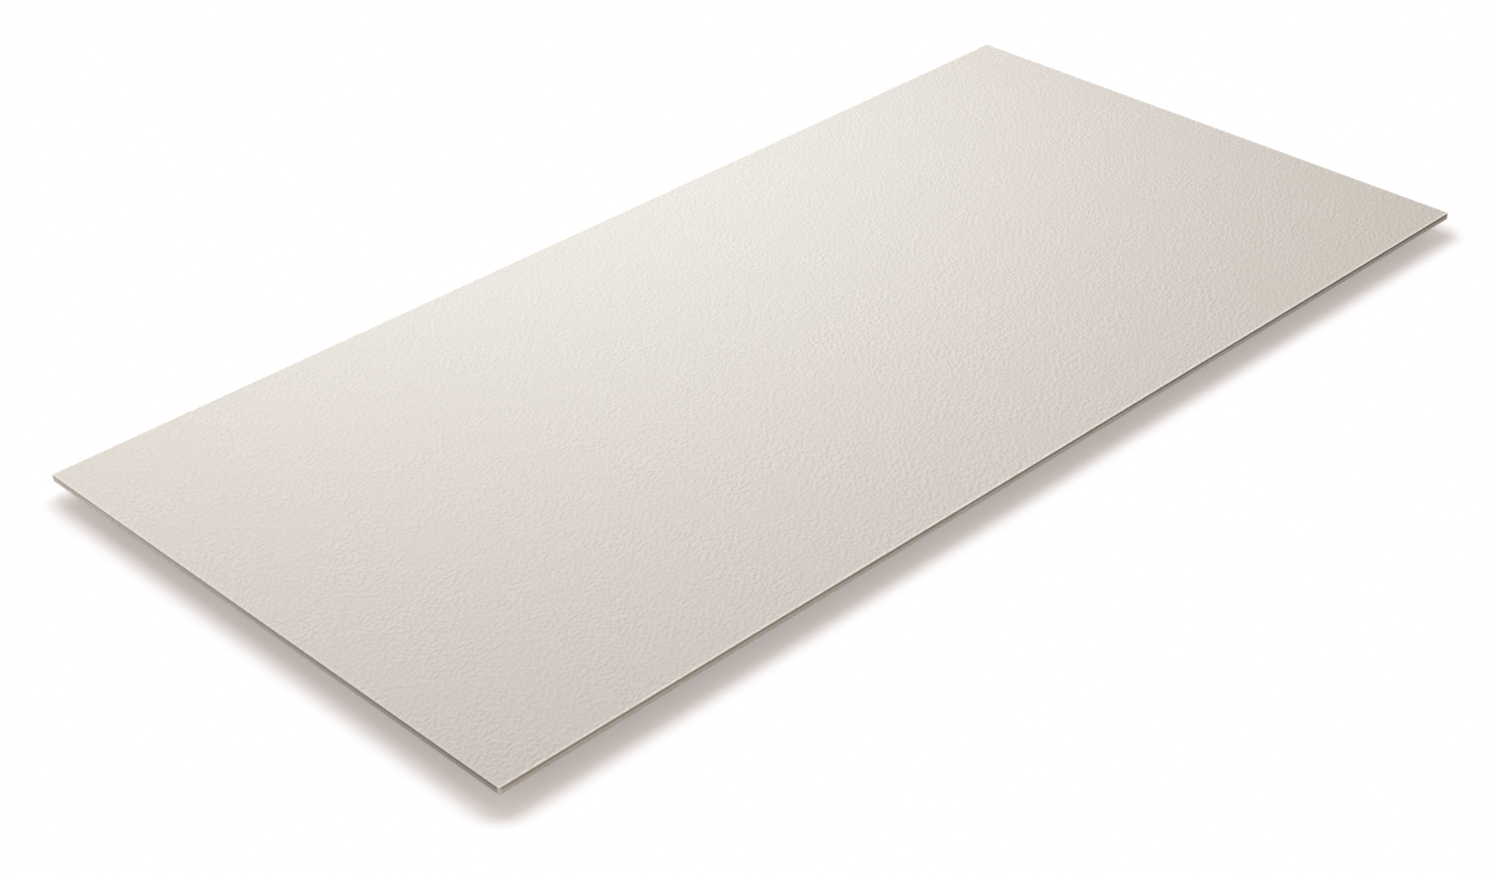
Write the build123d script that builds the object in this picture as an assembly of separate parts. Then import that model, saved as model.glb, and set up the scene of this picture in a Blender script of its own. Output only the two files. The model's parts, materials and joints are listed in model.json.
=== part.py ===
from build123d import *
import os

# A full sheet of fibre-cement board, 4 ft by 8 ft by 1/2 in, lying flat with its finished face up.
# The sheet is pressed, cured and trimmed as one piece, so it is one solid.
# Lengths are in millimetres. The origin is the middle of the back face, which the sheet lies on.
# +X runs along the sheet, +Y across it and +Z up through its thickness.

# Driving dimensions
BOARD_LENGTH = 2438.4
BOARD_WIDTH = 1219.2
BOARD_THICKNESS = 12.7
CORNER_RADIUS = 3.0
FACE_ARRIS_RADIUS = 1.2
BACK_ARRIS_RADIUS = 0.8

NODE_NAME = "cement_board"
PARTS_FOLDER = "parts"


def trimmed_outline():
    """The sheet's outline seen from above, with its four corners rubbed round."""
    return RectangleRounded(BOARD_LENGTH, BOARD_WIDTH, CORNER_RADIUS)


def cement_board():
    """The sheet, with the sharp edge taken off round its finished face and, less so, round its back."""
    sheet = extrude(trimmed_outline(), amount=BOARD_THICKNESS)
    finished_face = sheet.faces().sort_by(Axis.Z)[-1]
    sheet = fillet(finished_face.edges(), FACE_ARRIS_RADIUS)
    back_face = sheet.faces().sort_by(Axis.Z)[0]
    sheet = fillet(back_face.edges(), BACK_ARRIS_RADIUS)
    sheet.label = NODE_NAME
    return sheet


os.makedirs(PARTS_FOLDER, exist_ok=True)
export_step(cement_board(), os.path.join(PARTS_FOLDER, NODE_NAME + ".step"))
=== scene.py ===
import json
import math

import bmesh
import bpy
import numpy as np
from bpy.props import FloatProperty, FloatVectorProperty, IntProperty, PointerProperty
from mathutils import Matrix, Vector, noise

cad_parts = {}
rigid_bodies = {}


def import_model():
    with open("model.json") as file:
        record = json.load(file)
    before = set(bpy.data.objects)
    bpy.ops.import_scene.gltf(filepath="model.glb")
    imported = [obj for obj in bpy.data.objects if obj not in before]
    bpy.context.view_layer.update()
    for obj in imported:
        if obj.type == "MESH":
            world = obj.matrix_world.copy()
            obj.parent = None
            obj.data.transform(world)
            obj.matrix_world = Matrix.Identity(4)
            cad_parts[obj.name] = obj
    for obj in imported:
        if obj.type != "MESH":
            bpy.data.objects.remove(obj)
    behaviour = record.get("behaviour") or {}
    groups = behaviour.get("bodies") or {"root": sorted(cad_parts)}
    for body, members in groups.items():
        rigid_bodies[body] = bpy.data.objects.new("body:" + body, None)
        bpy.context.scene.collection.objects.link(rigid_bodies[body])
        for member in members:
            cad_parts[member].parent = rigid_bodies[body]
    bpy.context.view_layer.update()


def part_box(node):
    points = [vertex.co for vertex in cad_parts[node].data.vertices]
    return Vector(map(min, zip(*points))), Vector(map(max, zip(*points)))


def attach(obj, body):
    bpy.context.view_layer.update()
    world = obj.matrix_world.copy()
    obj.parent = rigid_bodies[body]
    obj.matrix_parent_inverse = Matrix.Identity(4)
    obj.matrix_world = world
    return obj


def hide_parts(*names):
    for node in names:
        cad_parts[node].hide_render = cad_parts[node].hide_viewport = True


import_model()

bl_info = {
    "name": "Cement board",
    "version": (1, 0, 0),
    "blender": (4, 5, 0),
    "location": "View3D > Sidebar > Cement board",
    "description": "Dresses a sheet of fibre-cement board and sets it on a plain stage",
    "category": "Object",
}

NODE = "cement_board"
BODY = "root"
PIECE = "cement_board_sheet"
MM = 0.001
WHITE = (1, 1, 1, 1)

# The sheet's mesh: the border outside each grid, the flat rim inside each arris, and the gap to the solid
FACE_MARGIN = 6 * MM
BACK_MARGIN = 30 * MM
FLAT_RIM = 2.4 * MM
HAIR = 0.01 * MM

# The sheet's mesh: how many of the face's steps make one of the back's, and the steps of each rounding
BACK_COARSER = 4
CORNER_STEPS = 6
FACE_ARRIS_STEPS = 3
BACK_ARRIS_STEPS = 2

# The pebbles: the seed of their random heights, and how much their spacing varies, as a share of the pitch
SEED = 7
PEBBLE_SPREAD = 0.35

# Torn plies and chips, from noise: its cells in a metre, the layer of it that makes the chips, the level at
# which a chip starts, and how deep the chips of the back are beside those of the face
TEARS_ALONG = 30
TEARS_DOWN = 1200
CHIPS_ALONG = 45
CHIP_LAYER = 3.0
CHIP_FROM = 0.3
BACK_CHIP_SHARE = 0.6

# The paler arris: how much less of it the two ends have, and the least that a corner has
END_SPARED = 0.7
CORNER_PALENESS = 0.85

# The sheet's material slots, in order
FACE, EDGE, BACK = range(3)

# Half of the floor's side, in metres
FLOOR_REACH = 15.0


def linear(code):
    """An sRGB hex colour as scene-linear red, green, blue and alpha."""
    parts = [int(code[i:i + 2], 16) / 255 for i in (1, 3, 5)]
    return (*[p / 12.92 if p <= 0.04045 else ((p + 0.055) / 1.055) ** 2.4 for p in parts], 1.0)


def colour_property(name, code, description):
    """A colour setting whose default is an sRGB hex colour."""
    return FloatVectorProperty(name=name, description=description, default=linear(code), subtype="COLOR",
                               size=4, min=0.0, max=1.0)


class SheetShape(bpy.types.PropertyGroup):
    """Sizes of the sheet's surface, finer than the solid that it dresses"""

    grid_step: FloatProperty(name="Grid step", description="Spacing of the face's mesh",
                             default=6.3 * MM, min=4 * MM, unit="LENGTH")
    stipple_pitch: FloatProperty(name="Stipple pitch", description="Spacing of the face's larger pebbles",
                                 default=16 * MM, min=12 * MM, unit="LENGTH")
    stipple_depth: FloatProperty(name="Stipple depth", description="Height of the face's larger pebbles",
                                 default=0.25 * MM, min=0.0, unit="LENGTH")
    corner_radius: FloatProperty(name="Corner radius", description="Rounding of the four rubbed corners",
                                 default=3 * MM, min=2.5 * MM, max=5 * MM, unit="LENGTH")
    face_arris: FloatProperty(name="Face arris", description="Rounding between the face and the edge",
                              default=1.2 * MM, min=0.2 * MM, max=2 * MM, unit="LENGTH")
    back_arris: FloatProperty(name="Back arris", description="Rounding between the edge and the back",
                              default=0.8 * MM, min=0.2 * MM, max=2 * MM, unit="LENGTH")
    ply_rows: IntProperty(name="Ply rows", description="Rows of mesh down the trimmed edge",
                          default=5, min=2, max=12)
    ply_relief: FloatProperty(name="Ply relief", description="How far the trimming saw tears a soft ply back",
                              default=0.25 * MM, min=0.0, unit="LENGTH")
    chip_depth: FloatProperty(name="Chip depth", description="Deepest chip along an arris",
                              default=0.5 * MM, min=0.0, unit="LENGTH")


class SheetColours(bpy.types.PropertyGroup):
    """Colours of the sheet"""

    face: colour_property("Face", "#DBD5CB", "Sealer coat on the pebbles of the face")
    # Painted shade: the hollows are a little darker than the pebbles
    hollow_shade: colour_property("Hollows", "#D6D0C5", "Sealer coat in the hollows between the pebbles")
    # The rim colour makes the face's arris and the corners paler
    rim: colour_property("Rim", "#F6F2EB", "Thicker, paler coat along the arris of the face")
    upper_ply: colour_property("Upper plies", "#968F85", "Dense plies under the face, seen on the edge")
    lower_ply: colour_property("Lower plies", "#EAE3D7", "Plies near the back, seen on the edge")
    # Ply line colour, also painted as shade along the back arris at the foot of the edge
    ply_line_and_shade: colour_property("Ply lines", "#8B8579", "Lines between plies")
    # Painted shade: the two ends are painted a darker grey-violet
    end_shade: colour_property("End dust", "#C3C1C6", "Grey dust that the cross-cut leaves on the two ends")
    back: colour_property("Back", "#BFB9AD", "Bare cement of the back")
    back_streak: colour_property("Back streaks", "#AEA89B", "Streaks that the felt leaves along the back")


class StageSettings(bpy.types.PropertyGroup):
    """The floor, the light and the camera"""

    floor_drop: FloatProperty(name="Floor drop", description="How far the floor lies below the raised stand",
                              default=34 * MM, min=0.0, unit="LENGTH")
    stand_inset: FloatProperty(name="Stand inset", default=260 * MM, min=0.0, unit="LENGTH",
                               description="How far the stand is set in from the sheet's edges")
    floor: colour_property("Floor", "#F4F4F4", "Paint of the floor")
    shade: colour_property("Shade", "#918C8C", "What the floor shows where no light reaches it")
    under_lift: FloatProperty(name="Under lift", default=1.3, min=1.0,
                              description="How much paler the shade is well under the sheet")
    white_from: FloatProperty(name="White from", default=16 * MM, min=0.0, unit="LENGTH",
                              description="How far outside the sheet the shade starts to fade")
    white_by: FloatProperty(name="White by", description="How far outside the sheet the floor is all white",
                            default=56 * MM, min=0.0, unit="LENGTH")
    white_corner: FloatProperty(name="White corner", description="Radius that rounds off the shade's corners",
                                default=28 * MM, min=0.0, unit="LENGTH")
    room: colour_property("Room", "#FFF0E5", "Colour of the light that fills the room")
    room_level: FloatProperty(name="Room level", description="Strength of the light that fills the room",
                              default=0.455, min=0.0)
    box_place: FloatVectorProperty(name="Soft box place", description="Middle of the soft box",
                                   default=(0.3, 1.07, 1.85), size=3, subtype="TRANSLATION", unit="LENGTH")
    box_size: FloatProperty(name="Soft box size", description="Side of the square soft box",
                            default=2.85, min=0.1, unit="LENGTH")
    box_power: FloatProperty(name="Soft box power", description="Power of the soft box",
                             default=54.5, min=0.0, unit="POWER")
    box_colour: colour_property("Soft box colour", "#E9F3FF", "Colour of the soft box's light")
    side_place: FloatVectorProperty(name="Side lamp place", description="Middle of the low, raking side lamp",
                                    default=(-2.9, 2.4, 0.7), size=3, subtype="TRANSLATION", unit="LENGTH")
    side_size: FloatProperty(name="Side lamp size", description="Side of the square side lamp",
                             default=0.5, min=0.1, unit="LENGTH")
    side_power: FloatProperty(name="Side lamp power", description="Power of the side lamp",
                              default=33.0, min=0.0, unit="POWER")
    side_colour: colour_property("Side lamp colour", "#FFFFFF", "Colour of the side lamp's light")
    camera_place: FloatVectorProperty(name="Camera place", description="Where the camera stands", size=3,
                                      default=(-2.9785, -3.0543, 2.494), subtype="TRANSLATION", unit="LENGTH")
    camera_turn: FloatVectorProperty(name="Camera turn", description="Turn of the camera about X, Y and Z",
                                     default=[math.radians(a) for a in (57.6393, 1.8014, -44.083)],
                                     size=3, subtype="EULER")
    camera_lens: FloatProperty(name="Camera lens", description="Focal length on a 36 mm sensor",
                               default=64.0, min=10.0, unit="CAMERA")


class BoardSettings(bpy.types.PropertyGroup):
    """All settings of the cement board"""

    shape: PointerProperty(type=SheetShape)
    colours: PointerProperty(type=SheetColours)
    stage: PointerProperty(type=StageSettings)


def add_node(tree, kind, inputs=None, stops=None, **settings):
    """Adds a node, applies its settings and colour stops, and sets or links each input that is named."""
    node = tree.nodes.new(kind)
    for name, value in settings.items():
        setattr(node, name, value)
    for number, (place, colour) in enumerate(stops or []):
        ramp = node.color_ramp.elements
        stop = ramp[number] if number < len(ramp) else ramp.new(place)
        stop.position = place
        stop.color = colour
    for name, value in (inputs or {}).items():
        if isinstance(value, bpy.types.NodeSocket):
            tree.links.new(value, node.inputs[name])
        else:
            node.inputs[name].default_value = value
    return node


def new_material(name):
    """An empty node material, its tree, and the position on the piece in metres as a socket."""
    material = bpy.data.materials.new(name)
    material.use_nodes = True
    tree = material.node_tree
    tree.nodes.clear()
    place = add_node(tree, "ShaderNodeTexCoord").outputs["Object"]
    return material, tree, place


def close_material(tree, surface):
    """Gives a material its finished surface."""
    add_node(tree, "ShaderNodeOutputMaterial", {"Surface": surface.outputs[0]})


def sealed_face_material(colours):
    """Fibre cement, pressed against a pebbled roll and sealed with a thin matt acrylic coat.

    The coat is off-white and a little warm. It gives a broad soft sheen, which pebbles that lie aslant break
    up. The hollows are painted a little darker than the pebbles, as painted shade, and the colour is paler
    along the arris.
    """
    material, tree, place = new_material("fibre cement, roll-pressed and sealed")
    # The coat's own grain is well under a millimetre, and is drawn coarser so that it shows
    pebble_mm, grain_mm, patch_mm = 6.8, 2.4, 110.0
    relief_mm, grain_share = 0.85, 0.2
    lean, stretch = math.radians(40), 1.25
    aslant = add_node(tree, "ShaderNodeMapping", {
        "Vector": place, "Rotation": (0, 0, lean), "Scale": (stretch, 1, 1)}, vector_type="TEXTURE")
    pebbles = add_node(tree, "ShaderNodeTexNoise", {
        "Vector": aslant.outputs[0], "Scale": 1 / (pebble_mm * MM), "Detail": 0.0, "Distortion": 0.3})
    grain = add_node(tree, "ShaderNodeTexNoise", {
        "Vector": aslant.outputs[0], "Scale": 1 / (grain_mm * MM), "Detail": 1.0})
    patches = add_node(tree, "ShaderNodeTexNoise", {
        "Vector": place, "Scale": 1 / (patch_mm * MM), "Detail": 2.0})
    pale_share = add_node(tree, "ShaderNodeAttribute", attribute_name="arris_pale_share")
    pebble = add_node(tree, "ShaderNodeMapRange", {
        "Value": pebbles.outputs["Fac"], "From Min": 0.2, "From Max": 0.8}, interpolation_type="SMOOTHSTEP")
    vigour = add_node(tree, "ShaderNodeMapRange", {
        "Value": patches.outputs["Fac"], "From Min": 0.35, "From Max": 0.65, "To Min": 0.6, "To Max": 1.1})
    height = add_node(tree, "ShaderNodeMath", {
        0: pebble.outputs[0], 1: vigour.outputs[0]}, operation="MULTIPLY")
    relief = add_node(tree, "ShaderNodeMath", {
        0: grain.outputs["Fac"], 1: grain_share, 2: height.outputs[0]}, operation="MULTIPLY_ADD")
    # Painted shade: the hollows between the pebbles are painted darker than their tops
    tone = add_node(tree, "ShaderNodeMix", {
        0: height.outputs[0], 6: colours.hollow_shade, 7: colours.face}, data_type="RGBA")
    coat = add_node(tree, "ShaderNodeMix", {
        0: pale_share.outputs["Fac"], 6: tone.outputs[2], 7: colours.rim}, data_type="RGBA")
    rough = add_node(tree, "ShaderNodeMapRange", {
        "Value": grain.outputs["Fac"], "To Min": 0.62, "To Max": 0.5})
    bump = add_node(tree, "ShaderNodeBump", {
        "Strength": 1.0, "Distance": relief_mm * MM, "Height": relief.outputs[0]})
    surface = add_node(tree, "ShaderNodeBsdfPrincipled", {
        "Base Color": coat.outputs[2], "Roughness": rough.outputs[0], "IOR": 1.48, "Normal": bump.outputs[0]})
    close_material(tree, surface)
    return material


def trimmed_edge_material(colours):
    """Fibre cement, laid up in thin wet plies, cured and trimmed by saw.

    The plies show as fine level lines that wander a little. The dense plies under the face are darker than
    the rest. A painted gradient of light makes the cut paler and more even towards the corner at low x and
    high y, and darker towards the corner at high x and low y. It is quite matt.
    """
    material, tree, place = new_material("fibre cement, ply-laid and saw-trimmed")
    low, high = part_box(NODE)
    # The plies keep their real pitch: from afar they merge into one dark and one pale band
    ply_mm, wander_mm, tear_mm, relief_mm = 1.05, 70.0, 5.0, 0.25
    sway = 3 * ply_mm * MM
    line_sink = 0.6
    wander = add_node(tree, "ShaderNodeTexNoise", {
        "Vector": place, "Scale": 1 / (wander_mm * MM), "Detail": 3.0})
    tears = add_node(tree, "ShaderNodeTexNoise", {
        "Vector": place, "Scale": 1 / (tear_mm * MM), "Detail": 4.0, "Roughness": 0.6})
    axes = add_node(tree, "ShaderNodeSeparateXYZ", {0: place})
    shift = add_node(tree, "ShaderNodeMath", {
        0: wander.outputs["Fac"], 1: sway, 2: axes.outputs["Z"]}, operation="MULTIPLY_ADD")
    level = add_node(tree, "ShaderNodeMapRange", {
        "Value": shift.outputs[0], "From Min": low.z + sway / 2, "From Max": high.z + sway / 2})
    # The stops are shares of the thickness, from the back up. The dark stop at the back is painted shade
    # along the back arris
    bands = add_node(tree, "ShaderNodeValToRGB", {0: level.outputs[0]}, stops=[
        (0.0, colours.ply_line_and_shade), (0.1, colours.lower_ply), (0.52, colours.lower_ply),
        (0.66, colours.upper_ply), (1.0, colours.upper_ply)])
    # Painted light: from -1 at the corner at high x and low y, painted darkest, to 1 at the corner at low x
    # and high y, painted palest
    painted_light_axis = (-0.5 / high.x, 0.5 / high.y, 0.0)
    painted_light_side = add_node(tree, "ShaderNodeVectorMath", {0: place, 1: painted_light_axis}, operation="DOT_PRODUCT")
    # Painted light: towards low x and high y the dark upper plies are painted out into the pale ones
    painted_light_fade = add_node(tree, "ShaderNodeMapRange", {
        "Value": painted_light_side.outputs["Value"], "From Min": -1.0, "From Max": 1.0, "To Max": 0.72})
    painted_light_evened = add_node(tree, "ShaderNodeMix", {
        0: painted_light_fade.outputs[0], 6: bands.outputs[0], 7: colours.lower_ply}, data_type="RGBA")
    phase = add_node(tree, "ShaderNodeMath", {
        0: shift.outputs[0], 1: 2 * math.pi / (ply_mm * MM)}, operation="MULTIPLY")
    wave = add_node(tree, "ShaderNodeMath", {0: phase.outputs[0]}, operation="SINE")
    line = add_node(tree, "ShaderNodeMapRange", {
        "Value": wave.outputs[0], "From Min": 0.55, "From Max": 1.0, "To Max": 0.55})
    lined = add_node(tree, "ShaderNodeMix", {
        0: line.outputs[0], 6: painted_light_evened.outputs[2], 7: colours.ply_line_and_shade}, data_type="RGBA")
    # Painted light: the cut is painted darker towards high x and low y and paler towards low x and high y
    painted_light_level = add_node(tree, "ShaderNodeMapRange", {
        "Value": painted_light_side.outputs["Value"], "From Min": -1.0, "From Max": 1.0, "To Min": 0.68, "To Max": 1.3})
    torn = add_node(tree, "ShaderNodeMapRange", {
        "Value": tears.outputs["Fac"], "From Min": 0.3, "From Max": 0.7, "To Min": 0.88, "To Max": 1.1})
    tone = add_node(tree, "ShaderNodeMath", {
        0: painted_light_level.outputs[0], 1: torn.outputs[0]}, operation="MULTIPLY")
    cut = add_node(tree, "ShaderNodeVectorMath", {
        0: lined.outputs[2], "Scale": tone.outputs[0]}, operation="SCALE")
    normal = add_node(tree, "ShaderNodeTexCoord").outputs["Normal"]
    facing = add_node(tree, "ShaderNodeVectorMath", {0: normal}, operation="ABSOLUTE")
    lengthwise = add_node(tree, "ShaderNodeSeparateXYZ", {0: facing.outputs[0]})
    # Painted shade: the two ends are darkened by multiplying in the end shade colour
    end_shaded = add_node(tree, "ShaderNodeMix", {
        0: lengthwise.outputs["X"], 6: cut.outputs[0], 7: colours.end_shade},
        data_type="RGBA", blend_type="MULTIPLY")
    pale_share = add_node(tree, "ShaderNodeAttribute", attribute_name="arris_pale_share")
    paled = add_node(tree, "ShaderNodeMix", {
        0: pale_share.outputs["Fac"], 6: end_shaded.outputs[2], 7: colours.rim}, data_type="RGBA")
    relief = add_node(tree, "ShaderNodeMath", {
        0: line.outputs[0], 1: -line_sink, 2: tears.outputs["Fac"]}, operation="MULTIPLY_ADD")
    bump = add_node(tree, "ShaderNodeBump", {
        "Strength": 1.0, "Distance": relief_mm * MM, "Height": relief.outputs[0]})
    surface = add_node(tree, "ShaderNodeBsdfPrincipled", {
        "Base Color": paled.outputs[2], "Roughness": 0.9, "IOR": 1.5, "Normal": bump.outputs[0]})
    close_material(tree, surface)
    return material


def felt_back_material(colours):
    """Bare fibre cement, drained on a woven felt.

    It is greyer and drier than the face, with the felt's weave pressed into it and faint streaks along it.
    """
    material, tree, place = new_material("fibre cement, felt-drained")
    # A felt's threads are under 2 mm apart, and are drawn wider apart so that they show
    weave_mm, streak_mm, relief_mm = 4.0, 14.0, 0.12
    streak_squeeze = 0.06
    wave_length = 0.31  # of a wave texture at scale 1
    drawn_out = add_node(tree, "ShaderNodeVectorMath", {
        0: place, 1: (streak_squeeze, 1.0, 1.0)}, operation="MULTIPLY")
    streaks = add_node(tree, "ShaderNodeTexNoise", {
        "Vector": drawn_out.outputs[0], "Scale": 1 / (streak_mm * MM), "Detail": 4.0})
    warp, weft = [add_node(tree, "ShaderNodeTexWave", {
        "Vector": place, "Scale": wave_length / (weave_mm * MM), "Distortion": 1.5, "Detail": 2.0},
        wave_type="BANDS", bands_direction=way) for way in "XY"]
    weave = add_node(tree, "ShaderNodeMath", {
        0: warp.outputs["Fac"], 1: weft.outputs["Fac"]}, operation="MULTIPLY")
    shade = add_node(tree, "ShaderNodeMix", {
        0: streaks.outputs["Fac"], 6: colours.back_streak, 7: colours.back}, data_type="RGBA")
    bump = add_node(tree, "ShaderNodeBump", {
        "Strength": 1.0, "Distance": relief_mm * MM, "Height": weave.outputs[0]})
    surface = add_node(tree, "ShaderNodeBsdfPrincipled", {
        "Base Color": shade.outputs[2], "Roughness": 0.9, "IOR": 1.5, "Normal": bump.outputs[0]})
    close_material(tree, surface)
    return material


def pebbled_relief(columns, rows, step, pitch):
    """Random bumps one pitch apart on the face's grid, from 0 in the hollows to 1 on the pebbles."""
    speck = np.random.default_rng(SEED).standard_normal((columns + 1, rows + 1))
    along = np.fft.fftfreq(columns + 1, step)[:, None]
    across = np.fft.rfftfreq(rows + 1, step)[None, :]
    band = np.exp(-((np.hypot(along, across) * pitch - 1) / PEBBLE_SPREAD) ** 2)
    field = np.fft.irfft2(np.fft.rfft2(speck) * band, speck.shape)
    return 0.5 + 0.5 * np.tanh(field / field.std())


def face_arris_points(radius, top):
    """The rounding from the face down to the edge, as (inset, height) pairs."""
    angles = [math.pi / 2 * k / FACE_ARRIS_STEPS for k in range(FACE_ARRIS_STEPS + 1)]
    return [(radius * (1 - math.sin(a)), top - radius * (1 - math.cos(a))) for a in angles]


def back_arris_points(radius, bottom):
    """The rounding from the edge in under the back, as (inset, height) pairs."""
    angles = [math.pi / 2 * k / BACK_ARRIS_STEPS for k in range(BACK_ARRIS_STEPS + 1)]
    return [(radius * (1 - math.cos(a)), bottom + radius * (1 - math.sin(a))) for a in angles]


def edge_section(shape, bottom, top):
    """Lines to carry round the sheet: (inset, height, paleness, share of the ply relief, share of the chips).
    """
    upper = face_arris_points(shape.face_arris, top)
    lower = back_arris_points(shape.back_arris, bottom)
    plies = np.linspace(upper[-1][1], lower[0][1], shape.ply_rows + 2)[1:-1]
    section = [(FLAT_RIM, top, 1.0, 0.0, 0.0)]
    for k, (inset, height) in enumerate(upper):
        section.append((inset, height, 1 - k / FACE_ARRIS_STEPS, 0.0, 1.0))
    section += [(0.0, height, 0.0, 1.0, 0.0) for height in plies]
    section += [(inset, height, 0.0, 0.0, BACK_CHIP_SHARE) for inset, height in lower]
    section.append((FLAT_RIM, bottom, 0.0, 0.0, 0.0))
    return section


def walk_round(columns, rows):
    """Steps once round the grid's edge, with extra ones at each corner.

    Each step is (column, row, way out in degrees, whether it is at a corner).
    """
    sides = (
        [(i, 0) for i in range(columns + 1)],
        [(columns, j) for j in range(rows + 1)],
        [(i, rows) for i in range(columns, -1, -1)],
        [(0, j) for j in range(rows, -1, -1)],
    )
    for turn, cells in enumerate(sides):
        heading = 90 * turn - 90
        yield from ((i, j, heading, False) for i, j in cells)
        i, j = cells[-1]
        yield from ((i, j, heading + 90 * k / CORNER_STEPS, True) for k in range(CORNER_STEPS + 1))


def carry_round(shape, line, steps, face_x, face_y):
    """One line of the section carried round the sheet: its points, as the saw left them, and their paleness.
    """
    inset, height, pale_part, ply_share, chip_share = line
    reach = FACE_MARGIN - shape.corner_radius - HAIR
    points, pale_share = [], []
    for i, j, heading, at_corner in steps:
        angle = math.radians(heading)
        outward = Vector((math.cos(angle), math.sin(angle), 0))
        spot = Vector((face_x[i], face_y[j], height))
        if at_corner:
            spot += reach * Vector((math.copysign(1, spot.x), math.copysign(1, spot.y), 0))
        else:
            spot += reach * outward
        spot += (shape.corner_radius - inset) * outward
        tear = noise.noise(Vector((spot.x * TEARS_ALONG, spot.y * TEARS_ALONG, height * TEARS_DOWN)))
        chip = noise.noise(Vector((spot.x * CHIPS_ALONG, spot.y * CHIPS_ALONG, CHIP_LAYER)))
        torn = ply_share * shape.ply_relief * (0.5 + 0.5 * tear)
        chipped = chip_share * shape.chip_depth * max(0.0, chip - CHIP_FROM)
        points.append(tuple(spot - outward * (torn + chipped)))
        paled = pale_part * (1 - END_SPARED * abs(outward.x))
        pale_share.append(max(paled, CORNER_PALENESS if at_corner else 0.0))
    return points, pale_share


def stitch(inner, outer):
    """Faces between a ring of points and the points that they run to, which may repeat."""
    following = np.roll(np.arange(len(outer)), -1)
    faces = []
    for p, q in enumerate(following):
        corners = [inner[p], outer[p], outer[q], inner[q]]
        faces.append(corners[:3] if inner[p] == inner[q] else corners)
    return faces


def grid_faces(first, columns, rows):
    """Quads of a grid whose points run row by row within each column."""
    faces = []
    for i in range(columns):
        for j in range(rows):
            a = first + i * (rows + 1) + j
            faces.append([a, a + rows + 1, a + rows + 2, a + 1])
    return faces


def sheet_mesh(shape):
    """The whole sheet as one closed mesh, a hair inside the solid: face, arrises, trimmed edge and back."""
    low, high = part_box(NODE)
    back_step = BACK_COARSER * shape.grid_step
    columns = BACK_COARSER * round((high.x - low.x - 2 * FACE_MARGIN) / back_step)
    rows = BACK_COARSER * round((high.y - low.y - 2 * FACE_MARGIN) / back_step)
    face_x = np.linspace(low.x + FACE_MARGIN, high.x - FACE_MARGIN, columns + 1)
    face_y = np.linspace(low.y + FACE_MARGIN, high.y - FACE_MARGIN, rows + 1)
    relief = pebbled_relief(columns, rows, shape.grid_step, shape.stipple_pitch)
    points = [(x, y, high.z - shape.stipple_depth * (1 - relief[i, j]))
              for i, x in enumerate(face_x) for j, y in enumerate(face_y)]
    pale_share = [0.0] * len(points)

    steps = list(walk_round(columns, rows))
    rings = []
    for line in edge_section(shape, low.z, high.z):
        ring_points, ring_pale_share = carry_round(shape, line, steps, face_x, face_y)
        rings.append(range(len(points), len(points) + len(ring_points)))
        points += ring_points
        pale_share += ring_pale_share

    back_first = len(points)
    back_columns, back_rows = columns // BACK_COARSER, rows // BACK_COARSER
    back_x = np.linspace(low.x + BACK_MARGIN, high.x - BACK_MARGIN, back_columns + 1)
    back_y = np.linspace(low.y + BACK_MARGIN, high.y - BACK_MARGIN, back_rows + 1)
    points += [(x, y, low.z) for x in back_x for y in back_y]
    pale_share += [0.0] * (len(points) - back_first)

    on_face = [i * (rows + 1) + j for i, j, *_ in steps]
    on_back = [back_first + round(i / BACK_COARSER) * (back_rows + 1) + round(j / BACK_COARSER)
               for i, j, *_ in steps]
    groups = [(grid_faces(0, columns, rows), FACE), (stitch(on_face, rings[0]), FACE)]
    for k in range(len(rings) - 1):
        kind = FACE if k < FACE_ARRIS_STEPS else EDGE
        groups.append((stitch(rings[k], rings[k + 1]), kind))
    groups.append(([face[::-1] for face in stitch(on_back, rings[-1])], BACK))
    groups.append(([face[::-1] for face in grid_faces(back_first, back_columns, back_rows)], BACK))
    faces = [face for group, _ in groups for face in group]
    kinds = [kind for group, kind in groups for _ in group]

    mesh = bpy.data.meshes.new(PIECE)
    mesh.from_pydata(points, [], faces)
    mesh.polygons.foreach_set("material_index", kinds)
    mesh.attributes.new("arris_pale_share", "FLOAT", "POINT").data.foreach_set("value", pale_share)
    mesh.shade_smooth()
    if mesh.validate():
        raise RuntimeError("the sheet's mesh had faults")
    return mesh


class CEMENTBOARD_OT_make_sheet(bpy.types.Operator):
    """Make the sheet, with its pebbled face, trimmed edges and felt-marked back"""

    bl_idname = "cement_board.make_sheet"
    bl_label = "Make sheet"

    def execute(self, context):
        settings = context.scene.cement_board
        mesh = sheet_mesh(settings.shape)
        mesh.materials.append(sealed_face_material(settings.colours))
        mesh.materials.append(trimmed_edge_material(settings.colours))
        mesh.materials.append(felt_back_material(settings.colours))
        sheet = bpy.data.objects.new(PIECE, mesh)
        context.scene.collection.objects.link(sheet)
        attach(sheet, BODY)
        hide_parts(NODE)
        return {"FINISHED"}


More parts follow.
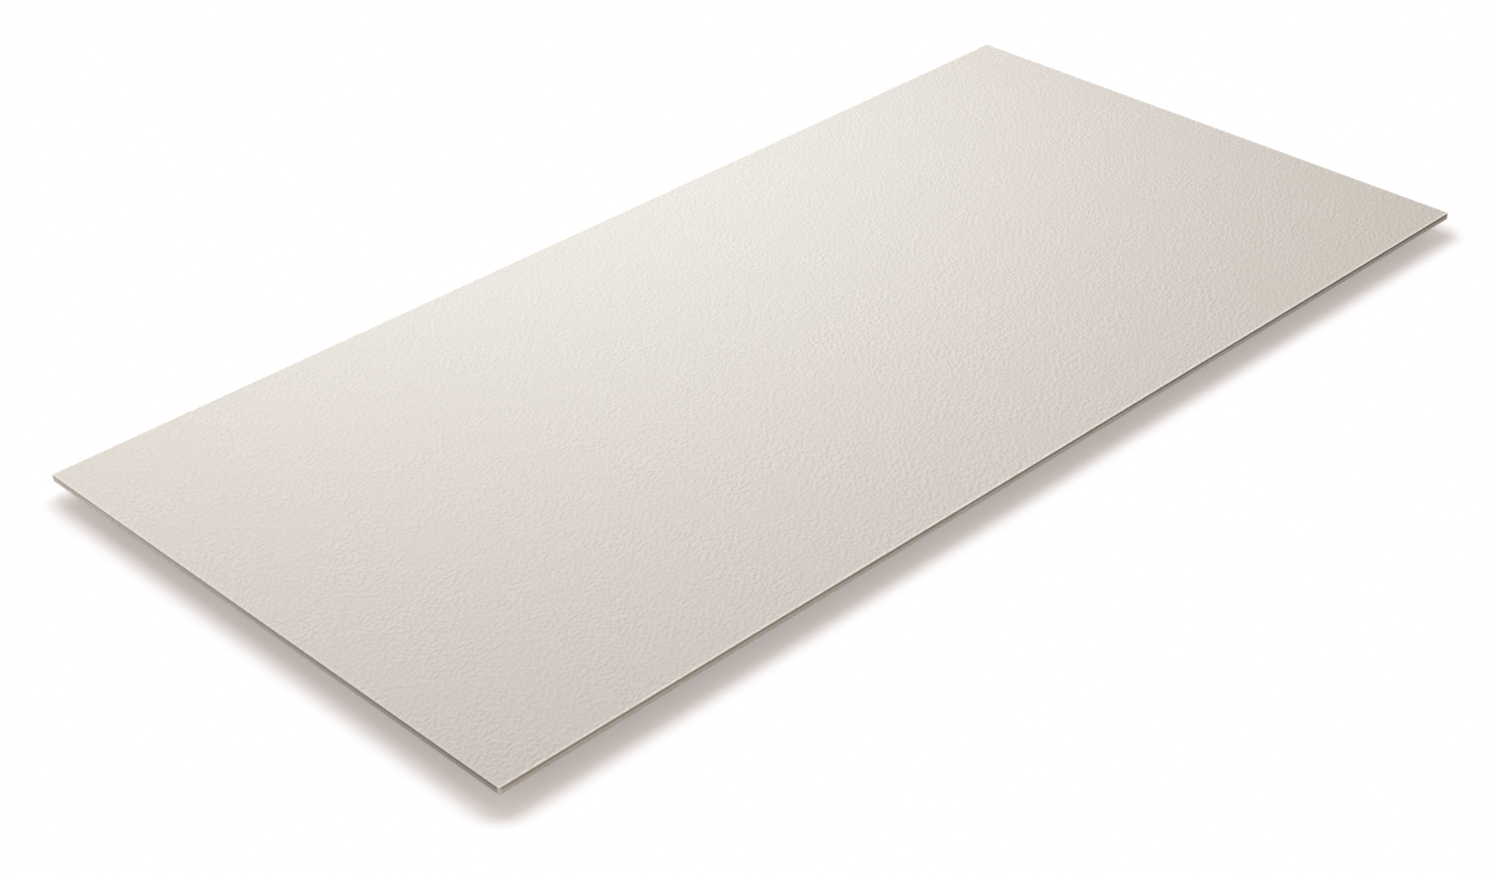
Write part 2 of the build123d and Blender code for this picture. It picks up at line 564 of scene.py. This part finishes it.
def seen_rays(tree):
    """1 for rays that the picture shows: from the camera, or from it by way of gloss or glass."""
    rays = add_node(tree, "ShaderNodeLightPath")
    two = add_node(tree, "ShaderNodeMath", {
        0: rays.outputs["Is Camera Ray"], 1: rays.outputs["Is Glossy Ray"]}, operation="MAXIMUM")
    three = add_node(tree, "ShaderNodeMath", {
        0: two.outputs[0], 1: rays.outputs["Is Transmission Ray"]}, operation="MAXIMUM")
    return three.outputs[0]


def painted_floor_material(stage):
    """Matt white studio paint.

    It takes light as a plain pale floor. Seen in the picture it is lifted to white, and away from the sheet
    it runs into the white of the room. Its shadow stays a warm grey: the grey is a painted lift, painted
    paler well under the sheet, and the shadow's outer edge is a painted fade to white, rounded at the
    corners, whatever light falls there.
    """
    material, tree, place = new_material("studio paint, matt white")
    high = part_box(NODE)[1]
    radius = stage.white_corner
    inner_half = (high.x - radius, high.y - radius, 1.0)
    paint = add_node(tree, "ShaderNodeBsdfDiffuse", {"Color": stage.floor})
    folded = add_node(tree, "ShaderNodeVectorMath", {0: place}, operation="ABSOLUTE")
    past = add_node(tree, "ShaderNodeVectorMath", {0: folded.outputs[0], 1: inner_half}, operation="SUBTRACT")
    beyond = add_node(tree, "ShaderNodeSeparateXYZ", {0: past.outputs[0]})
    nearest = add_node(tree, "ShaderNodeMath", {
        0: beyond.outputs["X"], 1: beyond.outputs["Y"]}, operation="MAXIMUM")
    # Painted shade: the grey lift is stronger well under the sheet, so the shadow there is painted paler
    under = add_node(tree, "ShaderNodeMapRange", {
        "Value": nearest.outputs[0], "From Min": radius - stage.white_by, "From Max": radius,
        "To Min": stage.under_lift, "To Max": 1.0})
    lift = add_node(tree, "ShaderNodeEmission", {"Color": stage.shade, "Strength": under.outputs[0]})
    white = add_node(tree, "ShaderNodeEmission", {"Color": WHITE})
    lifted = add_node(tree, "ShaderNodeAddShader", {0: paint.outputs[0], 1: lift.outputs[0]})
    # Painted shadow edge: past white_from outside the sheet's outline the floor fades to white, whatever
    # light falls there
    outside = add_node(tree, "ShaderNodeVectorMath", {0: past.outputs[0], 1: (0, 0, 0)}, operation="MAXIMUM")
    away = add_node(tree, "ShaderNodeVectorMath", {0: outside.outputs[0]}, operation="LENGTH")
    far = add_node(tree, "ShaderNodeMapRange", {
        "Value": away.outputs["Value"], "From Min": radius + stage.white_from,
        "From Max": radius + stage.white_by}, interpolation_type="SMOOTHSTEP")
    shown = add_node(tree, "ShaderNodeMixShader", {
        0: far.outputs[0], 1: lifted.outputs[0], 2: white.outputs[0]})
    floor = add_node(tree, "ShaderNodeMixShader", {
        0: seen_rays(tree), 1: paint.outputs[0], 2: shown.outputs[0]})
    close_material(tree, floor)
    return material


def floor_mesh(stage):
    """A wide floor with a low stand let into it, which carries the sheet and hides under it."""
    low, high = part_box(NODE)
    mesh = bpy.data.meshes.new("studio_floor")
    shape = bmesh.new()
    ground = low.z - stage.floor_drop
    corners = ((-1, -1), (1, -1), (1, 1), (-1, 1))
    shape.faces.new([shape.verts.new((x * FLOOR_REACH, y * FLOOR_REACH, ground)) for x, y in corners])
    if stage.floor_drop > 0:
        stand = bmesh.ops.create_cube(shape, size=1.0)["verts"]
        inset = 2 * stage.stand_inset
        size = (high.x - low.x - inset, high.y - low.y - inset, stage.floor_drop)
        bmesh.ops.scale(shape, vec=size, verts=stand)
        bmesh.ops.translate(shape, vec=(0, 0, low.z - stage.floor_drop / 2), verts=stand)
    shape.to_mesh(mesh)
    shape.free()
    return mesh


def studio_room(stage):
    """Even, slightly warm light from all round, which the picture shows as plain white."""
    world = bpy.data.worlds.new("studio_room")
    world.use_nodes = True
    tree = world.node_tree
    tree.nodes.clear()
    fill = add_node(tree, "ShaderNodeBackground", {"Color": stage.room, "Strength": stage.room_level})
    white = add_node(tree, "ShaderNodeBackground", {"Color": WHITE})
    room = add_node(tree, "ShaderNodeMixShader", {
        0: seen_rays(tree), 1: fill.outputs[0], 2: white.outputs[0]})
    add_node(tree, "ShaderNodeOutputWorld", {"Surface": room.outputs[0]})
    return world


def square_lamp(name, place, size, power, colour, lit=None):
    """A lamp aimed at the middle of the sheet, which lights one collection alone where that is given."""
    lamp = bpy.data.lights.new(name, "AREA")
    lamp.shape = "SQUARE"
    lamp.size = size
    lamp.energy = power
    lamp.color = colour[:3]
    holder = bpy.data.objects.new(name, lamp)
    holder.location = place
    holder.rotation_euler = (-Vector(place)).to_track_quat("-Z", "Y").to_euler()
    holder.visible_camera = False
    holder.light_linking.receiver_collection = lit
    return holder


class CEMENTBOARD_OT_make_stage(bpy.types.Operator):
    """Make the floor, the room's light, the lamps and the camera"""

    bl_idname = "cement_board.make_stage"
    bl_label = "Make stage"

    def execute(self, context):
        scene = context.scene
        stage = scene.cement_board.stage
        scene.view_settings.view_transform = "Standard"

        floor = bpy.data.objects.new("studio_floor", floor_mesh(stage))
        floor.data.materials.append(painted_floor_material(stage))
        scene.collection.objects.link(floor)
        scene.world = studio_room(stage)

        # The side lamp is flagged off the floor, so that it rakes the face alone
        off_floor = bpy.data.collections.new("off_floor")
        for piece in scene.objects:
            if piece != floor:
                off_floor.objects.link(piece)
        lamps = (
            square_lamp("soft_box", stage.box_place, stage.box_size, stage.box_power, stage.box_colour),
            square_lamp("side_lamp", stage.side_place, stage.side_size, stage.side_power, stage.side_colour,
                        off_floor),
        )
        for lamp in lamps:
            scene.collection.objects.link(lamp)

        lens = bpy.data.cameras.new("camera")
        lens.lens = stage.camera_lens
        camera = bpy.data.objects.new("camera", lens)
        camera.location = stage.camera_place
        camera.rotation_euler = stage.camera_turn
        scene.collection.objects.link(camera)
        scene.camera = camera
        return {"FINISHED"}


class CEMENTBOARD_PT_board(bpy.types.Panel):
    """Settings and makers of the cement board"""

    bl_label = "Cement board"
    bl_space_type = "VIEW_3D"
    bl_region_type = "UI"
    bl_category = "Cement board"

    def draw(self, context):
        settings = context.scene.cement_board
        for group, operator in ((settings.shape, None), (settings.colours, CEMENTBOARD_OT_make_sheet),
                                (settings.stage, CEMENTBOARD_OT_make_stage)):
            column = self.layout.column()
            for name in group.__annotations__:
                column.prop(group, name)
            if operator:
                column.operator(operator.bl_idname)


CLASSES = (SheetShape, SheetColours, StageSettings, BoardSettings, CEMENTBOARD_OT_make_sheet,
           CEMENTBOARD_OT_make_stage, CEMENTBOARD_PT_board)


def register():
    for cls in CLASSES:
        bpy.utils.register_class(cls)
    bpy.types.Scene.cement_board = PointerProperty(type=BoardSettings)


def unregister():
    del bpy.types.Scene.cement_board
    for cls in reversed(CLASSES):
        bpy.utils.unregister_class(cls)


def main():
    register()
    bpy.ops.cement_board.make_sheet()
    bpy.ops.cement_board.make_stage()


if __name__ == "__main__":
    main()
